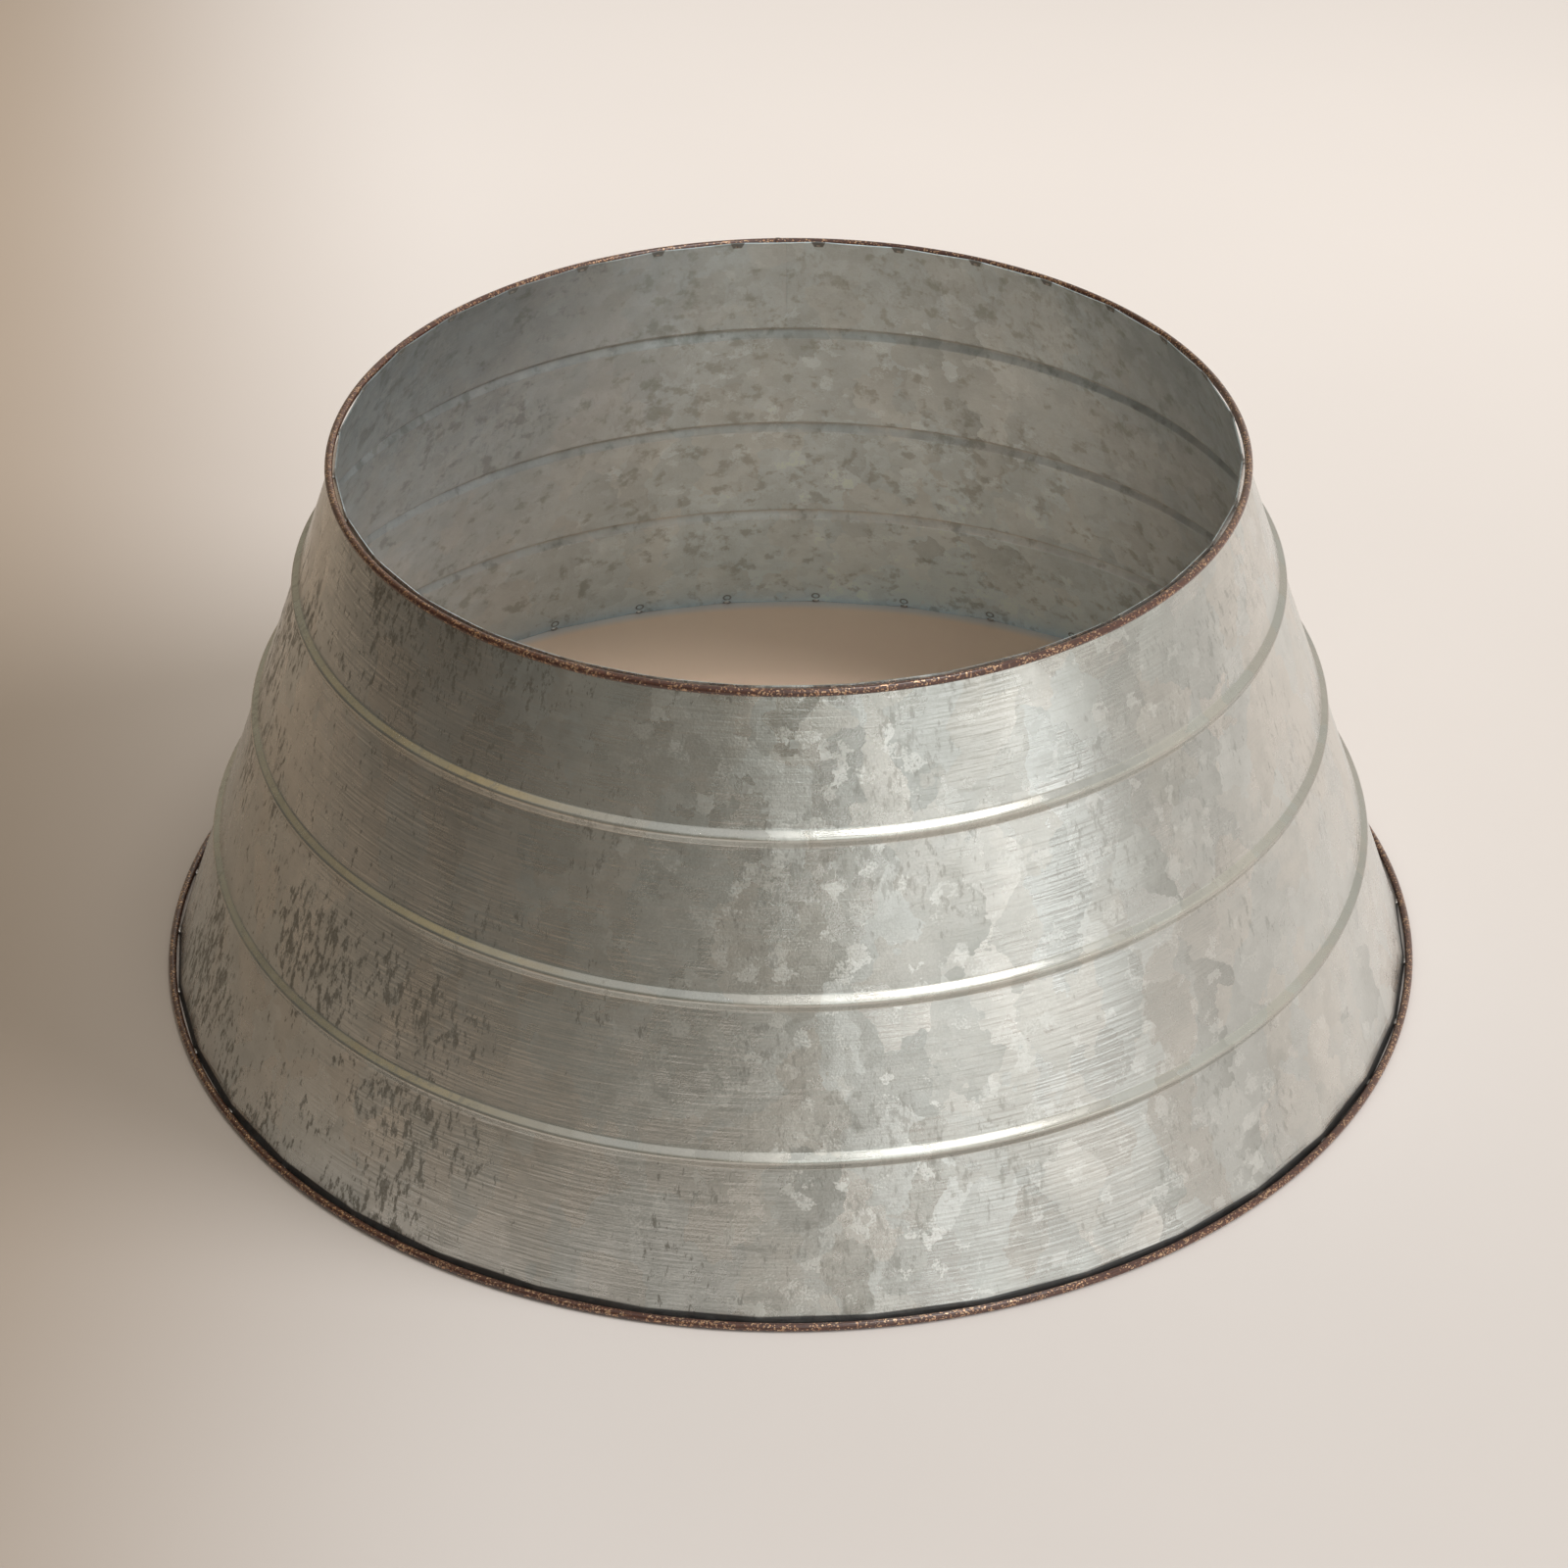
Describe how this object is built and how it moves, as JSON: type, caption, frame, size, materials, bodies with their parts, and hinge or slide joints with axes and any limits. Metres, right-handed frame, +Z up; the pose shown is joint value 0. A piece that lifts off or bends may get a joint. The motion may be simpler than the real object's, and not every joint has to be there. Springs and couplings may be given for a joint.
{
  "type": "christmas tree collar",
  "caption": "Round tree stand collar: a tapered cone of galvanised sheet with rolled beads, open at both ends, with a painted steel rod hoop welded round each rim.",
  "frame": {"origin": "on the floor, under the middle of the collar's wide end", "axes": "+Z up along the collar's middle line, from the wide end to the narrow end; +Y towards the sheet's seam, the back; +X to the right as seen from the front"},
  "size_m": [0.6599, 0.6602, 0.29],
  "materials": {
    "galvanised_sheet": "spangled zinc, satin",
    "hoop_paint": "dark brown gloss with fine copper speckle",
    "weld_metal": "dull, as welded"
  },
  "bodies": {
    "root": {"wall_sheet": "galvanised_sheet", "seam_weld": "galvanised_sheet", "bottom_hoop": "hoop_paint", "top_hoop": "hoop_paint", "bottom_hoop_closing_weld": "hoop_paint", "top_hoop_closing_weld": "hoop_paint", "bottom_hoop_spot_welds": "weld_metal", "top_hoop_spot_welds": "weld_metal"}
  },
  "joints": []
}
